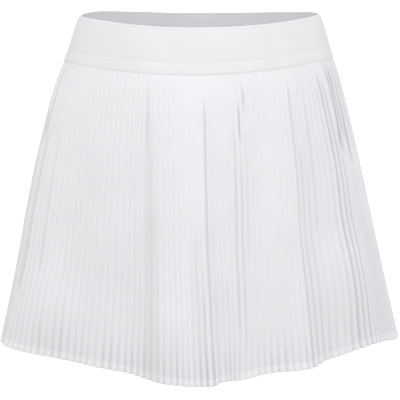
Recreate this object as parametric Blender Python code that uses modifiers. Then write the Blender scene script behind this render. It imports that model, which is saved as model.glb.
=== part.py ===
"""Pleated tennis skirt in its worn, hollow form: a folded knit band over two accordion-pleated panels.

The waist opening is centred on the origin, +Z is up and the front faces -Y. Every piece is half of a ring:
it runs from the side seam at -X, round the front or the back, to the side seam at +X.
"""
import math
from collections import namedtuple

import bmesh
import bpy
import numpy as np

MM = 0.001

# Driving dimensions, in metres.
SEAM_DROP = 44.0 * MM          # band seam below the top edge, measured at the sides
HEM_TOP_DROP = 337.0 * MM      # top of the turned-up hem
HEM_DROP = 345.0 * MM          # lower edge
DEPTH_RATIO = 0.766            # front-to-back half size of a ring, as a share of its half width
ROUNDNESS = 0.5                # 1 makes each half ring an ellipse, 0 a parabola that meets its twin at a point
PLEATS = 70                    # pleats on each panel
BAND_WALL = 2.0 * MM           # folded knit over elastic
PANEL_WALL = 1.0 * MM
HEM_WALL = 1.6 * MM            # two layers of the panel's cloth
GAP = 0.3 * MM                 # between sewn pieces
BAND_EDGE = 0.6 * MM           # rounding of the band's folded edges
BAND_STEPS = 24                # straight stretches along half of the band
BAND_SHARES = (0.0, 0.33, 0.67, 1.0)
PANEL_SHARES = (0.0, 0.13, 0.36, 0.66, 1.0)

# Rings of the skirt, by their drop below the waist's top edge, in millimetres. A ring's middle sways along X,
# its front and back hang lower than its sides by the dip, and its +X side stands higher by the rise.
Level = namedtuple("Level", "drop half_width sway dip rise pleat_depth")
LEVELS = [
    Level(0.0, 125.0, 0.0, 3.3, 0.4, 1.8),
    Level(44.0, 140.0, -1.0, 5.4, 1.8, 1.8),
    Level(66.0, 147.5, -1.6, 5.6, 1.7, 2.4),
    Level(87.0, 153.5, -2.2, 5.9, 1.6, 2.7),
    Level(130.0, 164.5, -2.2, 6.3, 1.4, 2.8),
    Level(194.0, 178.5, -1.7, 7.0, 1.1, 2.9),
    Level(258.0, 191.5, -0.4, 7.5, 0.8, 3.0),
    Level(345.0, 211.0, 0.4, 8.3, 0.5, 3.0),
]

# Large folds, a row for each ridge or trough, placed by its share of the panel's pleats from the -X side.
# At the hem it stands out or in and lifts the edge, in millimetres, and shifts the pleats by a share of the
# half ring.
Fold = namedtuple("Fold", "at out lift shift")
FRONT_FOLDS = [
    Fold(0.000, 0.0, 0.0, 0.000),
    Fold(0.050, 4.0, 1.5, 0.003),
    Fold(0.220, -21.0, 2.0, 0.006),
    Fold(0.310, -20.0, 3.3, 0.026),
    Fold(0.390, -6.0, 0.5, 0.029),
    Fold(0.500, 3.0, 1.0, 0.007),
    Fold(0.530, -10.0, 2.2, 0.004),
    Fold(0.580, -14.0, 1.5, -0.005),
    Fold(0.640, -20.0, 3.0, -0.005),
    Fold(0.730, -10.0, 2.2, -0.008),
    Fold(0.775, -23.0, 2.0, 0.013),
    Fold(0.870, -13.0, 4.0, 0.043),
    Fold(1.000, 0.0, 0.0, 0.000),
]
BACK_FOLDS = [
    Fold(0.000, 0.0, 0.0, 0.000),
    Fold(0.060, 5.0, 1.5, 0.003),
    Fold(0.170, -12.0, 3.0, 0.010),
    Fold(0.280, 3.0, 0.5, 0.012),
    Fold(0.340, -9.0, 2.5, 0.010),
    Fold(0.440, -5.0, 1.5, 0.006),
    Fold(0.510, 4.0, 0.5, 0.000),
    Fold(0.560, -11.0, 2.5, -0.006),
    Fold(0.640, -7.0, 2.0, -0.008),
    Fold(0.730, 3.0, 0.5, -0.010),
    Fold(0.820, -14.0, 3.5, -0.008),
    Fold(0.940, 6.0, 2.0, -0.003),
    Fold(1.000, 0.0, 0.0, 0.000),
]
SIDES = {"front": (-1.0, FRONT_FOLDS), "back": (1.0, BACK_FOLDS)}

Finish = namedtuple("Finish", "colour roughness")
KNIT = Finish((0.86, 0.87, 0.89), 0.75)
PLEATED_CLOTH = Finish((0.88, 0.89, 0.91), 0.65)
HEM_CLOTH = Finish((0.90, 0.91, 0.93), 0.65)


def smooth_curve(x, xs, ys):
    """A curve through the rows (xs, ys) that never swings past them, read at x."""
    xs, ys = np.asarray(xs, float), np.asarray(ys, float)
    steps = np.diff(xs)
    slopes = np.diff(ys) / steps
    before, after = slopes[:-1], slopes[1:]
    turning = before * after <= 0.0
    middle = np.where(turning, 0.0, 2.0 * before * after / np.where(turning, 1.0, before + after))
    tangents = np.concatenate([slopes[:1], middle, slopes[-1:]])
    x = np.clip(x, xs[0], xs[-1])
    row = np.clip(np.searchsorted(xs, x, side="right") - 1, 0, len(steps) - 1)
    t = (x - xs[row]) / steps[row]
    start = (1.0 + 2.0 * t) * (1.0 - t) ** 2 * ys[row] + t * (1.0 - t) ** 2 * steps[row] * tangents[row]
    end = t * t * (3.0 - 2.0 * t) * ys[row + 1] - t * t * (1.0 - t) * steps[row] * tangents[row + 1]
    return start + end


def level_value(column, drop):
    return smooth_curve(drop, [row.drop * MM for row in LEVELS], [getattr(row, column) * MM for row in LEVELS])


def half_ring(angle):
    """Across, outwards and the outward normal of the unit half ring, at an angle of 0 to pi from -X."""
    sine, cosine = np.sin(angle), np.cos(angle)
    across = -cosine
    outwards = DEPTH_RATIO * sine * (ROUNDNESS + (1.0 - ROUNDNESS) * sine)
    along_x = sine
    along_y = DEPTH_RATIO * cosine * (ROUNDNESS + 2.0 * (1.0 - ROUNDNESS) * sine)
    length = np.hypot(along_x, along_y)
    return across, outwards, -along_y / length, along_x / length


def angle_at(share):
    """The angle that lies at a share of the half ring's length."""
    angles = np.linspace(0.0, math.pi, 2001)
    across, outwards, _, _ = half_ring(angles)
    lengths = np.concatenate([[0.0], np.cumsum(np.hypot(np.diff(across), np.diff(outwards)))])
    return np.interp(share, lengths / lengths[-1], angles)


def cloth_row(side, drop, along, stand=0.0):
    """Points along a panel at one drop, standing out from its ring, and the directions to its inside."""
    facing, folds = SIDES[side]
    reach = max(0.0, (drop - SEAM_DROP) / (HEM_DROP - SEAM_DROP))
    places = [fold.at for fold in folds]
    out = smooth_curve(along, places, [fold.out * MM for fold in folds]) * reach
    lift = smooth_curve(along, places, [fold.lift * MM for fold in folds]) * reach
    shift = smooth_curve(along, places, [fold.shift for fold in folds]) * math.sqrt(reach)
    across, outwards, normal_x, normal_y = half_ring(angle_at(along + shift))
    half_width = level_value("half_width", drop)
    hang = level_value("dip", drop) * (outwards / DEPTH_RATIO) ** 2
    x = half_width * across + level_value("sway", drop) + normal_x * (out + stand)
    y = half_width * outwards + normal_y * (out + stand) + GAP / 2.0
    z = lift - drop - hang + level_value("rise", drop) * across
    points = np.stack([x, facing * y, z], axis=-1)
    inwards = np.stack([-normal_x, -facing * normal_y, np.zeros_like(x)], axis=-1)
    return points, inwards


def wall(name, rows, thickness, finish, collection):
    """A cloth wall: the outer surface through the rows, extruded inwards and closed along its edges."""
    mesh = bpy.data.meshes.new(name)
    bm = bmesh.new()
    inward_layer = bm.verts.layers.float_vector.new("inwards")
    grid = []
    for points, inwards in rows:
        verts = [bm.verts.new(point) for point in points]
        for vert, inward in zip(verts, inwards):
            vert[inward_layer] = inward
        grid.append(verts)
    for upper, lower in zip(grid, grid[1:]):
        for i in range(len(upper) - 1):
            bm.faces.new((upper[i], upper[i + 1], lower[i + 1], lower[i]))
    inner = bmesh.ops.extrude_face_region(bm, geom=bm.faces[:])["geom"]
    for vert in inner:
        if isinstance(vert, bmesh.types.BMVert):
            vert.co += vert[inward_layer] * thickness
    bmesh.ops.recalc_face_normals(bm, faces=bm.faces)
    bm.to_mesh(mesh)
    bm.free()
    mesh.materials.append(cloth_material(name, finish))
    piece = bpy.data.objects.new(name, mesh)
    collection.objects.link(piece)
    return piece


def cloth_material(name, finish):
    material = bpy.data.materials.new(name + "_cloth")
    material.use_nodes = True
    shader = material.node_tree.nodes["Principled BSDF"]
    shader.inputs["Base Color"].default_value = (*finish.colour, 1.0)
    shader.inputs["Roughness"].default_value = finish.roughness
    shader.inputs["Metallic"].default_value = 0.0
    return material


def pleated_rows(side, drops):
    """Rows that zigzag between the pleats' inner and outer edges. Both ends are inner edges, at the side seams."""
    along = np.linspace(0.0, 1.0, 2 * PLEATS + 1)
    zigzag = np.where(np.arange(len(along)) % 2 == 0, -0.5, 0.5)
    return [cloth_row(side, drop, along, zigzag * level_value("pleat_depth", drop)) for drop in drops]


def between(first, last, shares):
    return [first + (last - first) * share for share in shares]


def build_waistband(side, collection):
    along = np.linspace(0.0, 1.0, BAND_STEPS + 1)
    rows = [cloth_row(side, drop, along) for drop in between(0.0, SEAM_DROP - GAP / 2.0, BAND_SHARES)]
    band = wall("waistband_" + side, rows, BAND_WALL, KNIT, collection)
    band.data.shade_smooth()
    band.data.set_sharp_from_angle(angle=math.radians(40.0))
    rounding = band.modifiers.new("folded_edge", "BEVEL")
    rounding.width = BAND_EDGE
    rounding.segments = 1
    rounding.limit_method = "ANGLE"
    rounding.angle_limit = math.radians(40.0)


def build_skirt_panel(side, collection):
    drops = between(SEAM_DROP + GAP / 2.0, HEM_TOP_DROP - GAP / 2.0, PANEL_SHARES)
    wall("skirt_" + side, pleated_rows(side, drops), PANEL_WALL, PLEATED_CLOTH, collection)


def build_hem(side, collection):
    drops = (HEM_TOP_DROP + GAP / 2.0, HEM_DROP)
    wall("hem_" + side, pleated_rows(side, drops), HEM_WALL, HEM_CLOTH, collection)


def main():
    for item in list(bpy.data.objects):
        bpy.data.objects.remove(item, do_unlink=True)
    collection = bpy.data.collections.new("tennis_skirt")
    bpy.context.scene.collection.children.link(collection)
    for side in SIDES:
        build_waistband(side, collection)
        build_skirt_panel(side, collection)
        build_hem(side, collection)


main()
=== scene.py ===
"""Looks for the pleated tennis skirt, worn and hollow: thin pleated panels, turned-up hems, a folded knit band.

The waist opening is centred on the origin, +Z is up and the front faces -Y. Every piece is half of a ring:
it runs from the side seam at -X, round the front or the back, to the side seam at +X.
"""

import math
from collections import namedtuple

import bmesh
import bpy
import numpy as np
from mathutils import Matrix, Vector


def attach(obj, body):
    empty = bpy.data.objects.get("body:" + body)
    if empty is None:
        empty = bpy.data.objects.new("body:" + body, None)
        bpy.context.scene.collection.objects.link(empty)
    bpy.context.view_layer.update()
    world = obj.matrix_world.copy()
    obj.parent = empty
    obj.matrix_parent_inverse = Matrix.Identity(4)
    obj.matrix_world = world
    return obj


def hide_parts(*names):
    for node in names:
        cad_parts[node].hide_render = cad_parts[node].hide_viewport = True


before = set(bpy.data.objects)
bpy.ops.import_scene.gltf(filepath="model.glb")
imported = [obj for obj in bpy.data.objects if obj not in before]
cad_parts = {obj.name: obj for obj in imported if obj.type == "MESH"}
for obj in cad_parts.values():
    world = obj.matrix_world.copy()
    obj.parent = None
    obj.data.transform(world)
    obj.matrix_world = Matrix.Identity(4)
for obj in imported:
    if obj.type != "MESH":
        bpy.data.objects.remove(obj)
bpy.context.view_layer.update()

MM = 0.001

# Driving dimensions, in metres.
SEAM_DROP = 44.0 * MM          # band seam below the top edge, measured at the sides
HEM_TOP_DROP = 337.0 * MM      # top of the turned-up hem
HEM_DROP = 345.0 * MM          # lower edge
DEPTH_RATIO = 0.766            # front-to-back half size of a ring, as a share of its half width
ROUNDNESS = 0.5                # 1 makes each half ring an ellipse, 0 a parabola that meets its twin at a point
PLEATS = 70                    # pleats on each panel
COLUMNS_IN_PLEAT = (0.0, 0.14, 0.26, 0.36, 0.44, 0.5, 0.56, 0.64, 0.74, 0.86)  # closest at the inner fold
PANEL_ROWS = 64
BAND_COLUMNS = 240
RING_STEPS = 2001              # to measure the half ring's length
SHARP_ANGLE = 55.0             # degrees, above which an edge is shaded sharp
CLOTH = 0.4 * MM               # thickness of the pleated cloth
SIDE_SEAM_GAP = 0.02 * MM      # too narrow for light to pass between the sewn edges
SIDE_SEAM_DEPTH = 0.6 * MM     # of the groove that the side seam pulls into the cloth
SIDE_SEAM_BREADTH = 0.35       # in pleats
SEAM_START = 0.1 * MM          # from the band's seam to the panel's top row
SEAM_FULLNESS = 0.35 * MM      # how far the gathered cloth stands out under the band
SEAM_FADE = 12.0 * MM          # over which the panel leaves the hold of the seam
SEAM_PLEAT_SHARE = 0.6         # of the pleats' depth, at the seam
UNEVEN_LEAN = 0.10             # in pleats
UNEVEN_LEAN_RISE = 6.0         # the uneven lean is full at a sixth of the panel from each side seam
UNEVEN_DEPTH = 0.30            # share of a pleat's depth
UNEVEN_SPREAD = 0.6            # brings a normal draw to about -1 to 1
ZIGZAG_FROM = 0.33             # share of the panel from its middle, where flat-faced pleats turn into zigzags
ZIGZAG_FADE = 0.08
HEM_ZIGZAG = 0.6               # how much of a zigzag all pleats turn into towards the hem
HEM_ZIGZAG_FROM = 250.0 * MM
HEM_ZIGZAG_FADE = 80.0 * MM
VALLEY_BREADTH = 0.22          # half breadth of a pleat's inner fold, in pleats
VALLEY_SHARE = 0.7             # of the pleat's depth; the rest is the roundness of its outer face
CREASE_FADE_MM = 22.0          # over which a crease starts and stops
BAND_WAVES = 15                # turning points of the band's slight waves
BAND_WAVE_HEIGHT = 0.25 * MM
PUCKER_HEIGHT = 0.12 * MM      # of the puckers above the band's seam
PUCKERS_FROM_MM = 36.0
PUCKERS_FADE_MM = 6.0
BAND_WALL = 2.0 * MM

# Rings of the skirt, by their drop below the waist's top edge, in millimetres. A ring's middle sways along X,
# its front and back hang lower than its sides by the dip, and its +X side stands higher by the rise. Its pleats
# have a usual depth.
Level = namedtuple("Level", "drop half_width sway dip rise pleat_depth")
LEVELS = [
    Level(0.0, 125.0, 0.0, 3.3, 0.4, 1.8),
    Level(44.0, 140.0, -1.0, 5.4, 1.8, 1.8),
    Level(66.0, 147.5, -1.6, 5.6, 1.7, 2.4),
    Level(87.0, 153.5, -2.2, 5.9, 1.6, 2.7),
    Level(130.0, 164.5, -2.2, 6.3, 1.4, 2.8),
    Level(194.0, 178.5, -1.7, 7.0, 1.1, 2.9),
    Level(258.0, 191.5, -0.4, 7.5, 0.8, 3.0),
    Level(345.0, 211.0, 0.4, 8.3, 0.5, 3.0),
]

# Large folds, a row for each ridge or trough, placed by its share of the panel's pleats from the -X side.
# At the hem it stands out or in and lifts the edge, in millimetres, and shifts the pleats by a share of the
# half ring.
Fold = namedtuple("Fold", "at out lift shift")
FRONT_FOLDS = [
    Fold(0.000, 0.0, 0.0, 0.000),
    Fold(0.050, 4.0, 1.5, 0.003),
    Fold(0.220, -21.0, 2.0, 0.006),
    Fold(0.310, -20.0, 3.3, 0.026),
    Fold(0.390, -6.0, 0.5, 0.029),
    Fold(0.500, 3.0, 1.0, 0.007),
    Fold(0.530, -10.0, 2.2, 0.004),
    Fold(0.580, -14.0, 1.5, -0.005),
    Fold(0.640, -20.0, 3.0, -0.005),
    Fold(0.730, -10.0, 2.2, -0.008),
    Fold(0.775, -23.0, 2.0, 0.013),
    Fold(0.870, -13.0, 4.0, 0.043),
    Fold(1.000, 0.0, 0.0, 0.000),
]
BACK_FOLDS = [
    Fold(0.000, 0.0, 0.0, 0.000),
    Fold(0.060, 5.0, 1.5, 0.003),
    Fold(0.170, -12.0, 3.0, 0.010),
    Fold(0.280, 3.0, 0.5, 0.012),
    Fold(0.340, -9.0, 2.5, 0.010),
    Fold(0.440, -5.0, 1.5, 0.006),
    Fold(0.510, 4.0, 0.5, 0.000),
    Fold(0.560, -11.0, 2.5, -0.006),
    Fold(0.640, -7.0, 2.0, -0.008),
    Fold(0.730, 3.0, 0.5, -0.010),
    Fold(0.820, -14.0, 3.5, -0.008),
    Fold(0.940, 6.0, 2.0, -0.003),
    Fold(1.000, 0.0, 0.0, 0.000),
]

# Creases and soft troughs along the pleats: from and to a drop in millimetres, the pleat number they follow at
# each end, their depth in millimetres and half breadth in pleats.
Crease = namedtuple("Crease", "start stop first last depth breadth")
FRONT_CREASES = [
    Crease(34.0, 150.0, 0.9, 1.7, 4.2, 0.80),
    Crease(34.0, 130.0, 2.7, 2.9, 2.6, 0.70),
    Crease(90.0, 370.0, 2.1, 2.6, 3.2, 0.80),
    Crease(110.0, 290.0, 4.2, 3.9, 2.8, 0.80),
    Crease(110.0, 270.0, 7.2, 7.6, 1.2, 0.60),
    Crease(280.0, 370.0, 9.5, 9.5, 0.4, 0.36),
    Crease(275.0, 370.0, 12.5, 12.5, 0.3, 0.40),
    Crease(48.0, 130.0, 24.5, 24.7, 1.1, 0.60),
    Crease(70.0, 220.0, 24.8, 25.2, 0.6, 1.30),
    Crease(110.0, 370.0, 25.2, 25.5, 0.8, 2.40),
    Crease(170.0, 360.0, 25.3, 25.5, 0.7, 2.00),
    Crease(190.0, 370.0, 33.2, 33.6, 1.2, 2.40),
    Crease(250.0, 370.0, 34.5, 34.5, 0.6, 0.34),
    Crease(60.0, 370.0, 35.5, 35.5, 1.5, 0.38),
    Crease(250.0, 370.0, 36.5, 36.5, 0.6, 0.36),
    Crease(48.0, 90.0, 42.5, 42.5, 1.6, 0.38),
    Crease(64.0, 122.0, 41.5, 41.5, 1.5, 0.38),
    Crease(86.0, 310.0, 40.5, 40.5, 0.9, 0.38),
    Crease(118.0, 320.0, 41.5, 41.5, 0.7, 0.34),
    Crease(100.0, 240.0, 42.5, 42.5, 0.45, 0.34),
    Crease(50.0, 370.0, 51.5, 51.5, 1.5, 0.38),
    Crease(120.0, 370.0, 52.5, 52.5, 1.4, 0.38),
    Crease(150.0, 370.0, 53.5, 53.5, 1.0, 0.36),
    Crease(66.0, 220.0, 54.5, 54.5, 1.0, 0.36),
    Crease(60.0, 370.0, 57.5, 57.5, 0.7, 0.40),
    Crease(48.0, 370.0, 58.5, 58.5, 2.1, 0.44),
    Crease(60.0, 370.0, 59.5, 59.5, 1.8, 0.44),
    Crease(110.0, 370.0, 60.5, 60.5, 1.5, 0.44),
    Crease(42.0, 150.0, 62.1, 60.9, 5.0, 0.60),
    Crease(42.0, 130.0, 63.4, 62.3, 5.0, 0.60),
    Crease(42.0, 160.0, 64.8, 63.9, 5.4, 0.66),
    Crease(36.0, 150.0, 66.4, 66.6, 4.2, 0.80),
    Crease(34.0, 210.0, 68.6, 69.0, 5.4, 1.00),
]
BACK_CREASES = [
    Crease(60.0, 370.0, 9.5, 9.5, 1.9, 0.38),
    Crease(120.0, 370.0, 11.5, 11.5, 1.6, 0.36),
    Crease(70.0, 370.0, 19.5, 18.6, 1.6, 2.00),
    Crease(48.0, 120.0, 24.5, 24.5, 1.9, 0.38),
    Crease(95.0, 370.0, 23.5, 23.5, 2.2, 0.38),
    Crease(80.0, 370.0, 33.5, 33.5, 1.6, 0.36),
    Crease(50.0, 370.0, 39.5, 39.5, 2.3, 0.38),
    Crease(170.0, 370.0, 41.5, 41.5, 1.6, 0.36),
    Crease(70.0, 210.0, 47.5, 47.5, 1.8, 0.38),
    Crease(60.0, 370.0, 56.5, 56.5, 2.0, 0.38),
    Crease(150.0, 370.0, 57.5, 57.5, 1.6, 0.36),
    Crease(46.0, 160.0, 63.5, 63.5, 1.8, 0.38),
]

# Places where the cloth swells out above the hem and turns back in below: the middle as a pleat number and a
# drop in millimetres, the half sizes in pleats and millimetres, and the height in millimetres.
Swell = namedtuple("Swell", "pleat drop breadth length height")
FRONT_SWELLS = [
    Swell(10.5, 294.0, 6.5, 60.0, 4.8),
    Swell(57.0, 272.0, 8.0, 70.0, 5.2),
    Swell(47.0, 200.0, 4.0, 90.0, 2.5),
    Swell(28.0, 290.0, 7.0, 60.0, 3.0),
]
BACK_SWELLS = [
    Swell(14.0, 285.0, 5.0, 45.0, 4.0),
    Swell(30.0, 220.0, 4.0, 90.0, 2.5),
    Swell(52.0, 280.0, 6.0, 50.0, 4.5),
]

# Values over a panel: a row for each of some drops, in millimetres, and a column for each of some pleats.
Spread = namedtuple("Spread", "drop at_0 at_8 at_20 at_35 at_42 at_47 at_52 at_59 at_65 at_70")

# How deep the pleats are, as a share of their level's usual depth.
FRONT_DEPTHS = [
    Spread(44.0, 0.32, 0.26, 0.16, 0.13, 0.16, 0.15, 0.17, 0.50, 0.25, 0.20),
    Spread(90.0, 0.42, 0.27, 0.16, 0.13, 0.20, 0.13, 0.18, 0.54, 0.25, 0.20),
    Spread(190.0, 0.50, 0.31, 0.19, 0.16, 0.24, 0.10, 0.21, 0.54, 0.75, 0.60),
    Spread(290.0, 0.60, 0.37, 0.31, 0.28, 0.26, 0.18, 0.36, 0.58, 1.00, 0.85),
    Spread(345.0, 0.75, 0.66, 0.78, 0.62, 0.50, 0.68, 0.74, 0.74, 1.05, 0.80),
]
BACK_DEPTHS = [
    Spread(44.0, 0.40, 0.33, 0.25, 0.20, 0.25, 0.25, 0.30, 0.30, 0.40, 0.30),
    Spread(120.0, 0.50, 0.41, 0.30, 0.25, 0.35, 0.35, 0.40, 0.30, 0.45, 0.35),
    Spread(240.0, 0.55, 0.48, 0.40, 0.35, 0.45, 0.45, 0.45, 0.40, 0.50, 0.40),
    Spread(345.0, 0.65, 0.63, 0.60, 0.55, 0.60, 0.60, 0.55, 0.60, 0.65, 0.45),
]

# How far the pleats lean towards +X between the seam and the hem, in pleats. The side seams stay in place.
FRONT_LEANS = [
    Spread(44.0, 0.0, 0.4, 1.0, 0.3, 0.5, 0.9, 1.2, 1.3, 0.7, 0.0),
    Spread(90.0, 0.0, 0.5, 1.2, 0.5, 0.8, 0.8, 0.9, 1.5, 0.8, 0.0),
    Spread(150.0, 0.0, 0.5, 1.2, 0.5, 0.8, 0.8, 0.8, 1.7, 0.9, 0.0),
    Spread(220.0, 0.0, 0.5, 1.2, 0.5, 0.5, 0.4, 0.2, 1.0, 0.6, 0.0),
    Spread(290.0, 0.0, 0.4, 1.1, 0.7, 0.4, 0.2, 0.2, 0.6, 0.3, 0.0),
    Spread(345.0, 0.0, 0.1, 1.0, 0.9, 0.1, 0.2, 0.2, 0.4, 0.2, 0.0),
]
BACK_LEANS = [
    Spread(44.0, 0.0, -0.2, -0.4, -0.2, 0.3, 0.4, 0.4, 0.2, 0.0, 0.0),
    Spread(190.0, 0.0, -0.3, -0.6, 0.2, 0.6, 0.4, 0.2, -0.3, -0.1, 0.0),
    Spread(345.0, 0.0, 0.0, 0.0, 0.0, 0.0, 0.0, 0.0, 0.0, 0.0, 0.0),
]

# How much higher the band's top edge stands than its ring, in millimetres, by shares of its length. It fades
# out towards the seam.
TopRise = namedtuple("TopRise", "at height")
FRONT_TOP = [
    TopRise(0.00, 1.0),
    TopRise(0.15, 0.6),
    TopRise(0.35, 0.0),
    TopRise(0.65, 0.0),
    TopRise(0.85, 0.9),
    TopRise(1.00, 2.4),
]
BACK_TOP = [
    TopRise(0.00, 1.0),
    TopRise(0.06, 2.8),
    TopRise(0.13, 3.4),
    TopRise(0.20, 2.6),
    TopRise(0.30, 1.3),
    TopRise(0.45, -0.3),
    TopRise(0.60, -0.3),
    TopRise(0.72, 0.5),
    TopRise(0.85, 1.6),
    TopRise(0.94, 2.8),
    TopRise(1.00, 2.4),
]

# Soft wrinkles across the band: the middle as a share of its length and a drop in millimetres, the half
# length as a share, the half breadth and depth in millimetres, and the fall along its length in millimetres.
Wrinkle = namedtuple("Wrinkle", "at drop length breadth depth fall")
FRONT_WRINKLES = [
    Wrinkle(0.335, 27.0, 0.050, 2.2, 0.35, 1.0),
    Wrinkle(0.350, 31.5, 0.060, 2.0, 0.30, 0.5),
    Wrinkle(0.640, 24.0, 0.080, 3.0, 0.25, -1.5),
    Wrinkle(0.800, 30.0, 0.060, 2.5, 0.25, -2.0),
    Wrinkle(0.160, 20.0, 0.070, 3.0, 0.25, 2.0),
]
BACK_WRINKLES = [
    Wrinkle(0.300, 22.0, 0.080, 2.6, 0.30, 1.0),
    Wrinkle(0.560, 29.0, 0.070, 2.2, 0.35, -0.5),
    Wrinkle(0.820, 18.0, 0.060, 2.8, 0.25, -1.5),
]

Side = namedtuple("Side", "facing folds creases swells depths leans top wrinkles seed")
SIDES = {
    "front": Side(
        facing=-1.0, folds=FRONT_FOLDS, creases=FRONT_CREASES, swells=FRONT_SWELLS, depths=FRONT_DEPTHS,
        leans=FRONT_LEANS, top=FRONT_TOP, wrinkles=FRONT_WRINKLES, seed=11,
    ),
    "back": Side(
        facing=1.0, folds=BACK_FOLDS, creases=BACK_CREASES, swells=BACK_SWELLS, depths=BACK_DEPTHS,
        leans=BACK_LEANS, top=BACK_TOP, wrinkles=BACK_WRINKLES, seed=29,
    ),
}

# Materials. A textile's threads run across and along it at the given spacings, with a height, in metres. Its
# seams are rows of stitches, given by their drops.
Textile = namedtuple("Textile", "name colour roughness sheen across along height twist seams")
HEM_SEAM = HEM_TOP_DROP + 1.2 * MM
BAND_EDGE_SEAM = 2.2 * MM
BAND_STRIP_SEAM = 32.0 * MM
PLEATED_CLOTH = Textile(
    "pleated_cloth", colour=(0.78, 0.78, 0.806), roughness=0.50, sheen=0.05,
    across=0.36 * MM, along=0.42 * MM, height=0.05 * MM, twist=0.3, seams=[],
)
HEM_CLOTH = PLEATED_CLOTH._replace(name="hem_cloth", colour=(0.83, 0.83, 0.855), seams=[HEM_SEAM])
WAISTBAND_KNIT = Textile(
    "waistband_knit", colour=(0.758, 0.758, 0.78), roughness=0.62, sheen=0.06,
    across=0.60 * MM, along=0.45 * MM, height=0.09 * MM, twist=0.9, seams=[BAND_EDGE_SEAM, BAND_STRIP_SEAM],
)
WEAVE_STRENGTH = 0.2
SHEEN_ROUGHNESS = 0.45
MOTTLE_SCALE = 22.0            # of the slight unevenness of colour
MOTTLE_DETAIL = 3.0
MOTTLE_SPAN = (0.35, 0.65)     # of the noise, between the darker and the paler colour
MOTTLE_DARKER = 0.985
MOTTLE_PALER = 1.01
STITCH_WIDTH = 0.5 * MM
STITCH_PITCH = 2.6 * MM
STITCH_SHARE = 0.75            # of the pitch that each stitch covers
STITCH_HEIGHT = 3.0            # against the height of the weave
STITCH_SHADE = 0.90
# Painted shade: the cloth's colour darkens in folds deeper than the first depth below, and is darkest from the
# second, in place of the shade that falls in them.
PAINTED_FOLD_SHADE = 0.87              # painted shade: share of the cloth's colour left deep in the folds
PAINTED_SHADE_FROM = 0.4 * MM
PAINTED_SHADE_TO = 2.6 * MM

# Light: a world that is paler above than below, and darker behind the skirt than in front, and three softboxes.
WORLD_ABOVE = 1.24
WORLD_BELOW = 0.59
WORLD_HEIGHTS = (-0.6, 0.8)    # of the direction's Z, between below and above
WORLD_BEHIND = 0.30            # of the light from the front
WORLD_DEPTHS = (-0.9, 0.9)     # of the direction's Y, between the front and behind
Softbox = namedtuple("Softbox", "name location target size power")
SOFTBOXES = [
    Softbox("left", (-1.05, -0.62, 0.62), (0.0, 0.0, -0.08), 0.8, 5.8),
    Softbox("right", (0.98, -0.64, 0.62), (0.0, 0.0, -0.08), 0.8, 5.8),
    Softbox("rear", (0.0, 1.60, 0.90), (0.0, 0.0, -0.10), 0.9, 25.0),
]
WHITE = (1.0, 1.0, 1.0, 1.0)
FLOOR_SIZE = 60.0
FLOOR_HEIGHT = -1.0
FLOOR_COLOUR = (0.92, 0.92, 0.92)
FLOOR_ROUGHNESS = 0.9
FLOOR_GLOW = 0.6               # keeps the floor as pale as the background

SENSOR_WIDTH = 36.0
LENS = 173.25
CAMERA_LOCATION = (0.0005, -2.0, 0.165)
CAMERA_TILT = 10.17            # degrees below level


def smooth_curve(x, xs, ys):
    """A curve through the rows (xs, ys) that never swings past them, read at x."""
    xs, ys = np.asarray(xs, float), np.asarray(ys, float)
    steps = np.diff(xs)
    slopes = np.diff(ys) / steps
    before, after = slopes[:-1], slopes[1:]
    turning = before * after <= 0.0
    middle = np.where(turning, 0.0, 2.0 * before * after / np.where(turning, 1.0, before + after))
    tangents = np.concatenate([slopes[:1], middle, slopes[-1:]])
    x = np.clip(x, xs[0], xs[-1])
    row = np.clip(np.searchsorted(xs, x, side="right") - 1, 0, len(steps) - 1)
    t = (x - xs[row]) / steps[row]
    start = (1.0 + 2.0 * t) * (1.0 - t) ** 2 * ys[row] + t * (1.0 - t) ** 2 * steps[row] * tangents[row]
    end = t * t * (3.0 - 2.0 * t) * ys[row + 1] - t * t * (1.0 - t) * steps[row] * tangents[row + 1]
    return start + end


def soft_step(x):
    x = np.clip(x, 0.0, 1.0)
    return x * x * (3.0 - 2.0 * x)


def bump(x):
    """1 at the middle, falling smoothly to 0 at a distance of 1."""
    return soft_step(1.0 - np.abs(x))


def wander(seed, count, smoothness):
    """A random value for each of count places, smoothed over its neighbours, about -1 to 1."""
    values = np.random.default_rng(seed).normal(size=count + 2 * smoothness)
    kernel = np.hanning(2 * smoothness + 1)
    values = np.convolve(values, kernel / np.sqrt((kernel ** 2).sum()), mode="valid")
    return np.clip(values[:count] * UNEVEN_SPREAD, -1.0, 1.0)


def level_value(column, drop):
    return smooth_curve(drop, [row.drop * MM for row in LEVELS], [getattr(row, column) * MM for row in LEVELS])


def half_ring(angle):
    """Across, outwards and the outward normal of the unit half ring, at an angle of 0 to pi from -X."""
    sine, cosine = np.sin(angle), np.cos(angle)
    across = -cosine
    outwards = DEPTH_RATIO * sine * (ROUNDNESS + (1.0 - ROUNDNESS) * sine)
    along_x = sine
    along_y = DEPTH_RATIO * cosine * (ROUNDNESS + 2.0 * (1.0 - ROUNDNESS) * sine)
    length = np.hypot(along_x, along_y)
    return across, outwards, -along_y / length, along_x / length


def angle_at(share):
    """The angle that lies at a share of the half ring's length."""
    angles = np.linspace(0.0, math.pi, RING_STEPS)
    across, outwards, _, _ = half_ring(angles)
    lengths = np.concatenate([[0.0], np.cumsum(np.hypot(np.diff(across), np.diff(outwards)))])
    return np.interp(share, lengths / lengths[-1], angles)


def spread_value(rows, drop, along):
    """A value spread over a panel, read at drops and shares of its pleats."""
    places = [float(column.removeprefix("at_")) / PLEATS for column in Spread._fields[1:]]
    curves = [smooth_curve(along, places, row[1:]) for row in rows]
    drops = [row.drop * MM for row in rows]
    value = curves[0]
    for number in range(len(rows) - 1):
        share = soft_step((drop - drops[number]) / (drops[number + 1] - drops[number]))
        value = value + (curves[number + 1] - curves[number]) * share
    return value


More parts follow.
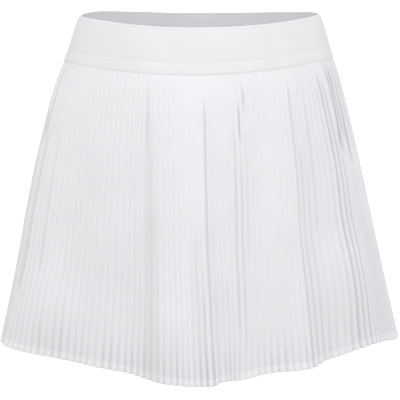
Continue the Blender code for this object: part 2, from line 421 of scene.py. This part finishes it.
def change_over(seed, drop, along):
    """A random value for each pleat, different at the seam and at the hem."""
    numbers = np.arange(PLEATS + 1)
    reach = np.clip((drop - SEAM_DROP) / (HEM_DROP - SEAM_DROP), 0.0, 1.0)
    upper = np.interp(along * PLEATS, numbers, wander(seed, PLEATS + 1, 1))
    lower = np.interp(along * PLEATS, numbers, wander(seed + 1, PLEATS + 1, 1))
    return upper * (1.0 - reach) + lower * reach


def lean_of(side, drop, along):
    """The pleats' sideways lean, as a share of the half ring."""
    spec = SIDES[side]
    from_seam = 0.5 - np.abs(along - 0.5)
    unevenness = UNEVEN_LEAN * change_over(spec.seed, drop, along) * soft_step(UNEVEN_LEAN_RISE * from_seam)
    return (spread_value(spec.leans, drop, along) + unevenness) / PLEATS


def cloth_points(side, drop, along, stand):
    """Points of a panel at drops and shares of its pleats, standing out from its rings, as arrays of one shape."""
    spec = SIDES[side]
    reach = np.clip((drop - SEAM_DROP) / (HEM_DROP - SEAM_DROP), 0.0, None)
    places = [fold.at for fold in spec.folds]
    out = smooth_curve(along, places, [fold.out * MM for fold in spec.folds]) * reach
    lift = smooth_curve(along, places, [fold.lift * MM for fold in spec.folds]) * reach
    shift = smooth_curve(along, places, [fold.shift for fold in spec.folds]) * np.sqrt(reach)
    shift = shift + lean_of(side, drop, along)
    across, outwards, normal_x, normal_y = half_ring(angle_at(along + shift))
    half_width = level_value("half_width", drop)
    hang = level_value("dip", drop) * (outwards / DEPTH_RATIO) ** 2
    x = half_width * across + level_value("sway", drop) + normal_x * (out + stand)
    y = half_width * outwards + normal_y * (out + stand) + SIDE_SEAM_GAP / 2.0
    top = smooth_curve(along, [row.at for row in spec.top], [row.height * MM for row in spec.top])
    top = top * soft_step(1.0 - drop / SEAM_DROP)
    z = lift + top - drop - hang + level_value("rise", drop) * across
    return np.stack([x, spec.facing * y, z], axis=-1)


def side_seam_groove(along):
    """The shallow groove where the cloth is drawn in at its side seams."""
    from_seam = 0.5 - np.abs(along - 0.5)
    return SIDE_SEAM_DEPTH * bump(from_seam * PLEATS / SIDE_SEAM_BREADTH)


def pleat_folds(side, drop, along):
    """How deep the pleats, the creases and the side seams' grooves lie below the cloth's outer face."""
    spec = SIDES[side]
    pleat = along * PLEATS
    drop_mm = drop / MM
    from_valley = np.abs(pleat - np.floor(pleat) - 0.5)
    valley = VALLEY_SHARE * bump(from_valley / VALLEY_BREADTH)
    flat_face = valley + (1.0 - VALLEY_SHARE) * (1.0 - np.sin(math.pi * from_valley))
    zigzag = soft_step((np.abs(along - 0.5) - ZIGZAG_FROM) / ZIGZAG_FADE)
    zigzag = np.maximum(zigzag, HEM_ZIGZAG * soft_step((drop - HEM_ZIGZAG_FROM) / HEM_ZIGZAG_FADE))
    profile = flat_face * (1.0 - zigzag) + (1.0 - 2.0 * from_valley) * zigzag
    depth = spread_value(spec.depths, drop, along) * level_value("pleat_depth", drop)
    depth = depth * (1.0 + UNEVEN_DEPTH * change_over(spec.seed + 2, drop, along))
    free = soft_step((drop - SEAM_DROP) / SEAM_FADE)
    folds = depth * profile * (SEAM_PLEAT_SHARE + (1.0 - SEAM_PLEAT_SHARE) * free)
    for crease in spec.creases:
        travel = (drop_mm - crease.start) / (crease.stop - crease.start)
        middle = crease.first + (crease.last - crease.first) * np.clip(travel, 0.0, 1.0)
        start = soft_step((drop_mm - crease.start) / CREASE_FADE_MM)
        fade = start * soft_step((crease.stop - drop_mm) / CREASE_FADE_MM)
        folds = folds + crease.depth * MM * fade * bump((pleat - middle) / crease.breadth)
    return folds + side_seam_groove(along)


def outer_face(side, drop, along):
    """How far the pleats' outer faces stand out from the panel's rings, with the large swells."""
    free = soft_step((drop - SEAM_DROP) / SEAM_FADE)
    face = SEAM_FULLNESS * (1.0 - free) + 0.5 * level_value("pleat_depth", drop) * free
    for swell in SIDES[side].swells:
        across = bump((along * PLEATS - swell.pleat) / swell.breadth)
        face = face + swell.height * MM * across * bump((drop / MM - swell.drop) / swell.length)
    return face


def close_end(bm, end):
    """Close one end of a sheet, whose loop of vertices runs down the outer face and back up the inner one."""
    for i in range(len(end) // 2 - 1):
        bm.faces.new([bm.verts[corner] for corner in (end[i], end[i + 1], end[-2 - i], end[-1 - i])])


def lay_out_cloth(bm, profile, columns, places):
    """UVs in metres: the place along the cloth's top row, and minus the drop."""
    uv_layer = bm.loops.layers.uv.new("cloth")
    for face in bm.faces:
        for loop in face.loops:
            row, column = divmod(loop.vert.index, columns)
            loop[uv_layer].uv = (places[column], -profile[row][0])


def swept_cloth(name, side, profile, along, face_of, folds_of, material):
    """A closed sheet: a loop of (drop, stand) rows carried along a panel, with its two ends closed."""
    rows, columns = len(profile), len(along)
    drop = np.array([row[0] for row in profile])[:, None] + np.zeros(columns)
    stand = np.array([row[1] for row in profile])[:, None] + np.zeros(columns)
    share = np.zeros((rows, 1)) + along
    fold_depth = folds_of(side, drop, share)
    points = cloth_points(side, drop, share, stand + face_of(side, drop, share) - fold_depth)

    index = np.arange(rows * columns).reshape(rows, columns)
    nxt = np.roll(index, -1, axis=0)
    faces = np.stack([index[:, :-1], nxt[:, :-1], nxt[:, 1:], index[:, 1:]], axis=-1).reshape(-1, 4)
    ends = [index[:, 0].tolist(), index[::-1, -1].tolist()]
    if SIDES[side].facing > 0:
        faces = faces[:, ::-1]
        ends = [end[::-1] for end in ends]
    mesh = bpy.data.meshes.new(name)
    mesh.from_pydata(points.reshape(-1, 3).tolist(), [], faces.tolist())
    mesh.update()
    mesh.attributes.new("fold_depth", "FLOAT", "POINT").data.foreach_set("value", fold_depth.ravel())

    bm = bmesh.new()
    bm.from_mesh(mesh)
    bm.verts.ensure_lookup_table()
    for end in ends:
        close_end(bm, end)
    bmesh.ops.recalc_face_normals(bm, faces=bm.faces)
    steps = np.linalg.norm(np.diff(points[0], axis=0), axis=1)
    lay_out_cloth(bm, profile, columns, np.concatenate([[0.0], np.cumsum(steps)]))
    bm.to_mesh(mesh)
    bm.free()
    mesh.shade_smooth()
    mesh.set_sharp_from_angle(angle=math.radians(SHARP_ANGLE))
    mesh.materials.append(material)
    piece = bpy.data.objects.new(name, mesh)
    bpy.context.scene.collection.objects.link(piece)
    return piece


def panel_profile():
    """The outer face from the seam down to the hem, then the inner face back up."""
    drops = np.linspace(SEAM_DROP + SEAM_START, HEM_TOP_DROP, PANEL_ROWS)
    outer = [(drop, 0.0) for drop in drops]
    inner = [(drop, -CLOTH) for drop in drops[::-1]]
    return outer + inner


def hem_profile():
    """The turned-up hem: the outer layer runs on from the panel, doubled behind, with a rounded lower fold."""
    outer = [
        (HEM_TOP_DROP, 0.00 * MM),
        (HEM_TOP_DROP + 0.5 * MM, -0.05 * MM),
        (HEM_TOP_DROP + 1.2 * MM, 0.10 * MM),
        (HEM_TOP_DROP + 2.5 * MM, 0.22 * MM),
        (HEM_TOP_DROP + 4.5 * MM, 0.28 * MM),
        (HEM_TOP_DROP + 6.5 * MM, 0.25 * MM),
        (HEM_DROP - 0.5 * MM, 0.15 * MM),
        (HEM_DROP - 0.1 * MM, -0.05 * MM),
    ]
    inner = [
        (HEM_DROP - 0.1 * MM, -0.65 * MM),
        (HEM_DROP - 0.5 * MM, -0.90 * MM),
        (HEM_TOP_DROP + 6.5 * MM, -1.00 * MM),
        (HEM_TOP_DROP + 4.5 * MM, -1.00 * MM),
        (HEM_TOP_DROP + 2.5 * MM, -1.00 * MM),
        (HEM_TOP_DROP + 1.2 * MM, -1.00 * MM),
        (HEM_TOP_DROP + 0.5 * MM, -0.90 * MM),
        (HEM_TOP_DROP, -0.50 * MM),
    ]
    return outer + inner


def band_profile():
    """Knit folded over elastic: a rounded top fold, a flat face and a fuller strip over the seam."""
    outer = [
        (0.15 * MM, -0.60 * MM),
        (0.45 * MM, -0.15 * MM),
        (1.0 * MM, 0.10 * MM),
        (1.7 * MM, 0.15 * MM),
        (2.2 * MM, 0.00 * MM),
        (2.7 * MM, 0.15 * MM),
        (5.0 * MM, 0.35 * MM),
        (10.0 * MM, 0.55 * MM),
        (16.0 * MM, 0.60 * MM),
        (22.0 * MM, 0.55 * MM),
        (28.0 * MM, 0.45 * MM),
        (30.5 * MM, 0.38 * MM),
        (31.7 * MM, 0.20 * MM),
        (32.3 * MM, 0.20 * MM),
        (33.5 * MM, 0.40 * MM),
        (36.0 * MM, 0.52 * MM),
        (39.0 * MM, 0.58 * MM),
        (41.5 * MM, 0.55 * MM),
        (43.0 * MM, 0.45 * MM),
        (43.7 * MM, 0.30 * MM),
        (44.0 * MM, 0.10 * MM),
    ]
    inner = [(drop, -BAND_WALL) for drop, _ in outer[::-1]]
    inner[0] = (inner[0][0], -1.4 * MM)      # rounds the lower edge
    inner[-1] = (inner[-1][0], -1.5 * MM)    # rounds the top fold
    return outer + inner


def band_face(side, drop, along):
    """The band's slight waves, and the small puckers that the pleats make in its seam."""
    heights = wander(SIDES[side].seed + 7, BAND_WAVES, 1)
    waves = np.interp(along, np.linspace(0.0, 1.0, BAND_WAVES), heights)
    waves = BAND_WAVE_HEIGHT * waves * np.sin(math.pi * np.clip(drop / SEAM_DROP, 0.0, 1.0))
    puckers = np.sin(math.pi * along * PLEATS) * soft_step((drop / MM - PUCKERS_FROM_MM) / PUCKERS_FADE_MM)
    return waves + PUCKER_HEIGHT * puckers


def band_folds(side, drop, along):
    """How deep the band's wrinkles and its side seams' grooves are."""
    folds = side_seam_groove(along)
    for wrinkle in SIDES[side].wrinkles:
        line = wrinkle.drop + wrinkle.fall * (along - wrinkle.at) / wrinkle.length
        across = bump((drop / MM - line) / wrinkle.breadth)
        folds = folds + wrinkle.depth * MM * across * bump((along - wrinkle.at) / wrinkle.length)
    return folds


def new_material(name, colour, roughness):
    material = bpy.data.materials.new(name)
    material.use_nodes = True
    shader = material.node_tree.nodes["Principled BSDF"]
    shader.inputs["Base Color"].default_value = (*colour, 1.0)
    shader.inputs["Roughness"].default_value = roughness
    return material, shader


def math_node(tree, operation, first, second):
    """A math node fed by sockets or plain numbers; returns its output socket."""
    node = tree.nodes.new("ShaderNodeMath")
    node.operation = operation
    for socket, value in zip(node.inputs, (first, second)):
        if isinstance(value, bpy.types.NodeSocket):
            tree.links.new(value, socket)
        else:
            socket.default_value = value
    return node.outputs["Value"]


def map_range(tree, value, span, results):
    """A value mapped from one span to another; returns its output socket."""
    node = tree.nodes.new("ShaderNodeMapRange")
    node.inputs["From Min"].default_value, node.inputs["From Max"].default_value = span
    node.inputs["To Min"].default_value, node.inputs["To Max"].default_value = results
    tree.links.new(value, node.inputs["Value"])
    return node.outputs["Result"]


def stitch_mask(tree, along, down, drop):
    """1 on the stitches of a seam that runs along the cloth at a drop, 0 elsewhere."""
    offset = math_node(tree, "ABSOLUTE", math_node(tree, "ADD", down, drop), 0.0)
    on_line = math_node(tree, "LESS_THAN", offset, STITCH_WIDTH / 2.0)
    step = math_node(tree, "FRACT", math_node(tree, "DIVIDE", along, STITCH_PITCH), 0.0)
    on_stitch = math_node(tree, "LESS_THAN", step, STITCH_SHARE)
    return math_node(tree, "MULTIPLY", on_line, on_stitch)


def thread_wave(tree, direction, period, twist, uv):
    """Parallel threads at a spacing in metres, as a height of 0 to 1."""
    wave = tree.nodes.new("ShaderNodeTexWave")
    wave.wave_type = "BANDS"
    wave.bands_direction = direction
    wave.inputs["Scale"].default_value = 2.0 * math.pi / (20.0 * period)   # the node has 20 bands in 2 pi
    wave.inputs["Distortion"].default_value = twist
    wave.inputs["Detail"].default_value = 0.0
    tree.links.new(uv, wave.inputs["Vector"])
    return wave.outputs["Fac"]


def mottled_colour(tree, colour):
    """The cloth's colour with a slight unevenness."""
    nodes, links = tree.nodes, tree.links
    position = nodes.new("ShaderNodeTexCoord")
    mottle = nodes.new("ShaderNodeTexNoise")
    mottle.inputs["Scale"].default_value = MOTTLE_SCALE
    mottle.inputs["Detail"].default_value = MOTTLE_DETAIL
    links.new(position.outputs["Object"], mottle.inputs["Vector"])
    shades = nodes.new("ShaderNodeValToRGB")
    for element, place, factor in zip(shades.color_ramp.elements, MOTTLE_SPAN, (MOTTLE_DARKER, MOTTLE_PALER)):
        element.position = place
        element.color = (*[min(1.0, part * factor) for part in colour], 1.0)
    links.new(mottle.outputs["Fac"], shades.inputs["Fac"])
    return shades.outputs["Color"]


def mixed_colour(tree, factor, base, other):
    """A base colour socket mixed towards another plain colour."""
    mix = tree.nodes.new("ShaderNodeMixRGB")
    mix.inputs["Color2"].default_value = (*other, 1.0)
    tree.links.new(factor, mix.inputs["Fac"])
    tree.links.new(base, mix.inputs["Color1"])
    return mix.outputs["Color"]


def textile_material(textile):
    """Cloth with threads across and along it, rows of stitches, painted shade in its folds, and a soft sheen."""
    material, shader = new_material(textile.name, textile.colour, textile.roughness)
    tree = material.node_tree
    nodes, links = tree.nodes, tree.links
    shader.inputs["Sheen Weight"].default_value = textile.sheen
    shader.inputs["Sheen Roughness"].default_value = SHEEN_ROUGHNESS
    shader.inputs["Specular IOR Level"].default_value = 0.5

    cloth_uv = nodes.new("ShaderNodeUVMap")
    cloth_uv.uv_map = "cloth"
    across = thread_wave(tree, "X", textile.across, textile.twist, cloth_uv.outputs["UV"])
    along = thread_wave(tree, "Y", textile.along, textile.twist, cloth_uv.outputs["UV"])
    height = math_node(tree, "MULTIPLY", across, along)

    # Painted shade: the colour darkens with the depth of the folds below the cloth's outer face.
    folds = nodes.new("ShaderNodeAttribute")
    folds.attribute_name = "fold_depth"
    painted_shade_in_folds = map_range(tree, folds.outputs["Fac"], (PAINTED_SHADE_FROM, PAINTED_SHADE_TO), (0.0, 1.0))
    painted_fold_shade_colour = [part * PAINTED_FOLD_SHADE for part in textile.colour]
    colour = mixed_colour(tree, painted_shade_in_folds, mottled_colour(tree, textile.colour), painted_fold_shade_colour)

    cloth_axes = nodes.new("ShaderNodeSeparateXYZ")
    links.new(cloth_uv.outputs["UV"], cloth_axes.inputs["Vector"])
    thread_colour = [part * STITCH_SHADE for part in textile.colour]
    for seam in textile.seams:
        stitches = stitch_mask(tree, cloth_axes.outputs["X"], cloth_axes.outputs["Y"], seam)
        height = math_node(tree, "ADD", height, math_node(tree, "MULTIPLY", stitches, STITCH_HEIGHT))
        colour = mixed_colour(tree, stitches, colour, thread_colour)
    links.new(colour, shader.inputs["Base Color"])

    relief = nodes.new("ShaderNodeBump")
    relief.inputs["Strength"].default_value = WEAVE_STRENGTH
    relief.inputs["Distance"].default_value = textile.height
    links.new(height, relief.inputs["Height"])
    links.new(relief.outputs["Normal"], shader.inputs["Normal"])
    return material


def build_side(side, pleated_cloth, hem_cloth, waistband_knit):
    pleat_columns = np.append(np.add.outer(np.arange(PLEATS), COLUMNS_IN_PLEAT).ravel(), PLEATS) / PLEATS
    band_columns = np.linspace(0.0, 1.0, BAND_COLUMNS + 1)
    panel = swept_cloth(
        "skirt_" + side + "_pleats", side, panel_profile(), pleat_columns,
        outer_face, pleat_folds, pleated_cloth,
    )
    hem = swept_cloth(
        "hem_" + side + "_turn_up", side, hem_profile(), pleat_columns,
        outer_face, pleat_folds, hem_cloth,
    )
    band = swept_cloth(
        "waistband_" + side + "_knit", side, band_profile(), band_columns,
        band_face, band_folds, waistband_knit,
    )
    for piece, node, slot in (
        (panel, "skirt_" + side, "pleated_cloth"),
        (hem, "hem_" + side, "hem_cloth"),
        (band, "waistband_" + side, "waistband_knit"),
    ):
        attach(piece, "root")
        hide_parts(node)


def build_skirt():
    materials = [textile_material(textile) for textile in (PLEATED_CLOTH, HEM_CLOTH, WAISTBAND_KNIT)]
    for side in SIDES:
        build_side(side, *materials)


def build_stage():
    bpy.ops.mesh.primitive_plane_add(size=FLOOR_SIZE, location=(0.0, 0.0, FLOOR_HEIGHT))
    floor = bpy.context.object
    floor.name = "floor"
    material, shader = new_material("pale_floor", FLOOR_COLOUR, FLOOR_ROUGHNESS)
    shader.inputs["Emission Color"].default_value = WHITE
    shader.inputs["Emission Strength"].default_value = FLOOR_GLOW
    floor.data.materials.append(material)
    floor.visible_diffuse = False    # the light from below is the world's alone


def add_softbox(box):
    light = bpy.data.lights.new(box.name, "AREA")
    light.shape = "SQUARE"
    light.size = box.size
    light.energy = box.power
    lamp = bpy.data.objects.new(box.name, light)
    lamp.location = box.location
    direction = np.array(box.target) - np.array(box.location)
    lamp.rotation_euler = Vector(direction).to_track_quat("-Z", "Y").to_euler()
    lamp.visible_camera = False
    lamp.visible_glossy = False
    bpy.context.scene.collection.objects.link(lamp)


def build_light():
    """A soft room that lights the skirt, with plain white paper where the camera sees past it."""
    world = bpy.data.worlds.new("studio")
    bpy.context.scene.world = world
    world.use_nodes = True
    tree = world.node_tree
    nodes, links = tree.nodes, tree.links
    direction = nodes.new("ShaderNodeTexCoord")
    split = nodes.new("ShaderNodeSeparateXYZ")
    links.new(direction.outputs["Generated"], split.inputs["Vector"])
    dome = map_range(tree, split.outputs["Z"], WORLD_HEIGHTS, (WORLD_BELOW, WORLD_ABOVE))
    room = map_range(tree, split.outputs["Y"], WORLD_DEPTHS, (1.0, WORLD_BEHIND))
    nodes["Background"].inputs["Color"].default_value = WHITE
    links.new(math_node(tree, "MULTIPLY", dome, room), nodes["Background"].inputs["Strength"])
    paper = nodes.new("ShaderNodeBackground")
    paper.inputs["Color"].default_value = WHITE
    rays = nodes.new("ShaderNodeLightPath")
    seen = nodes.new("ShaderNodeMixShader")
    links.new(rays.outputs["Is Camera Ray"], seen.inputs["Fac"])
    links.new(nodes["Background"].outputs["Background"], seen.inputs[1])
    links.new(paper.outputs["Background"], seen.inputs[2])
    links.new(seen.outputs["Shader"], nodes["World Output"].inputs["Surface"])
    for box in SOFTBOXES:
        add_softbox(box)


def build_camera():
    data = bpy.data.cameras.new("camera")
    data.sensor_width = SENSOR_WIDTH
    data.lens = LENS
    data.dof.use_dof = False
    data.clip_start = 0.1
    data.clip_end = 100.0
    camera = bpy.data.objects.new("camera", data)
    camera.location = CAMERA_LOCATION
    camera.rotation_euler = (math.radians(90.0 - CAMERA_TILT), 0.0, 0.0)
    bpy.context.scene.collection.objects.link(camera)
    bpy.context.scene.camera = camera


build_skirt()
build_stage()
build_light()
build_camera()
bpy.context.scene.view_settings.view_transform = "Standard"
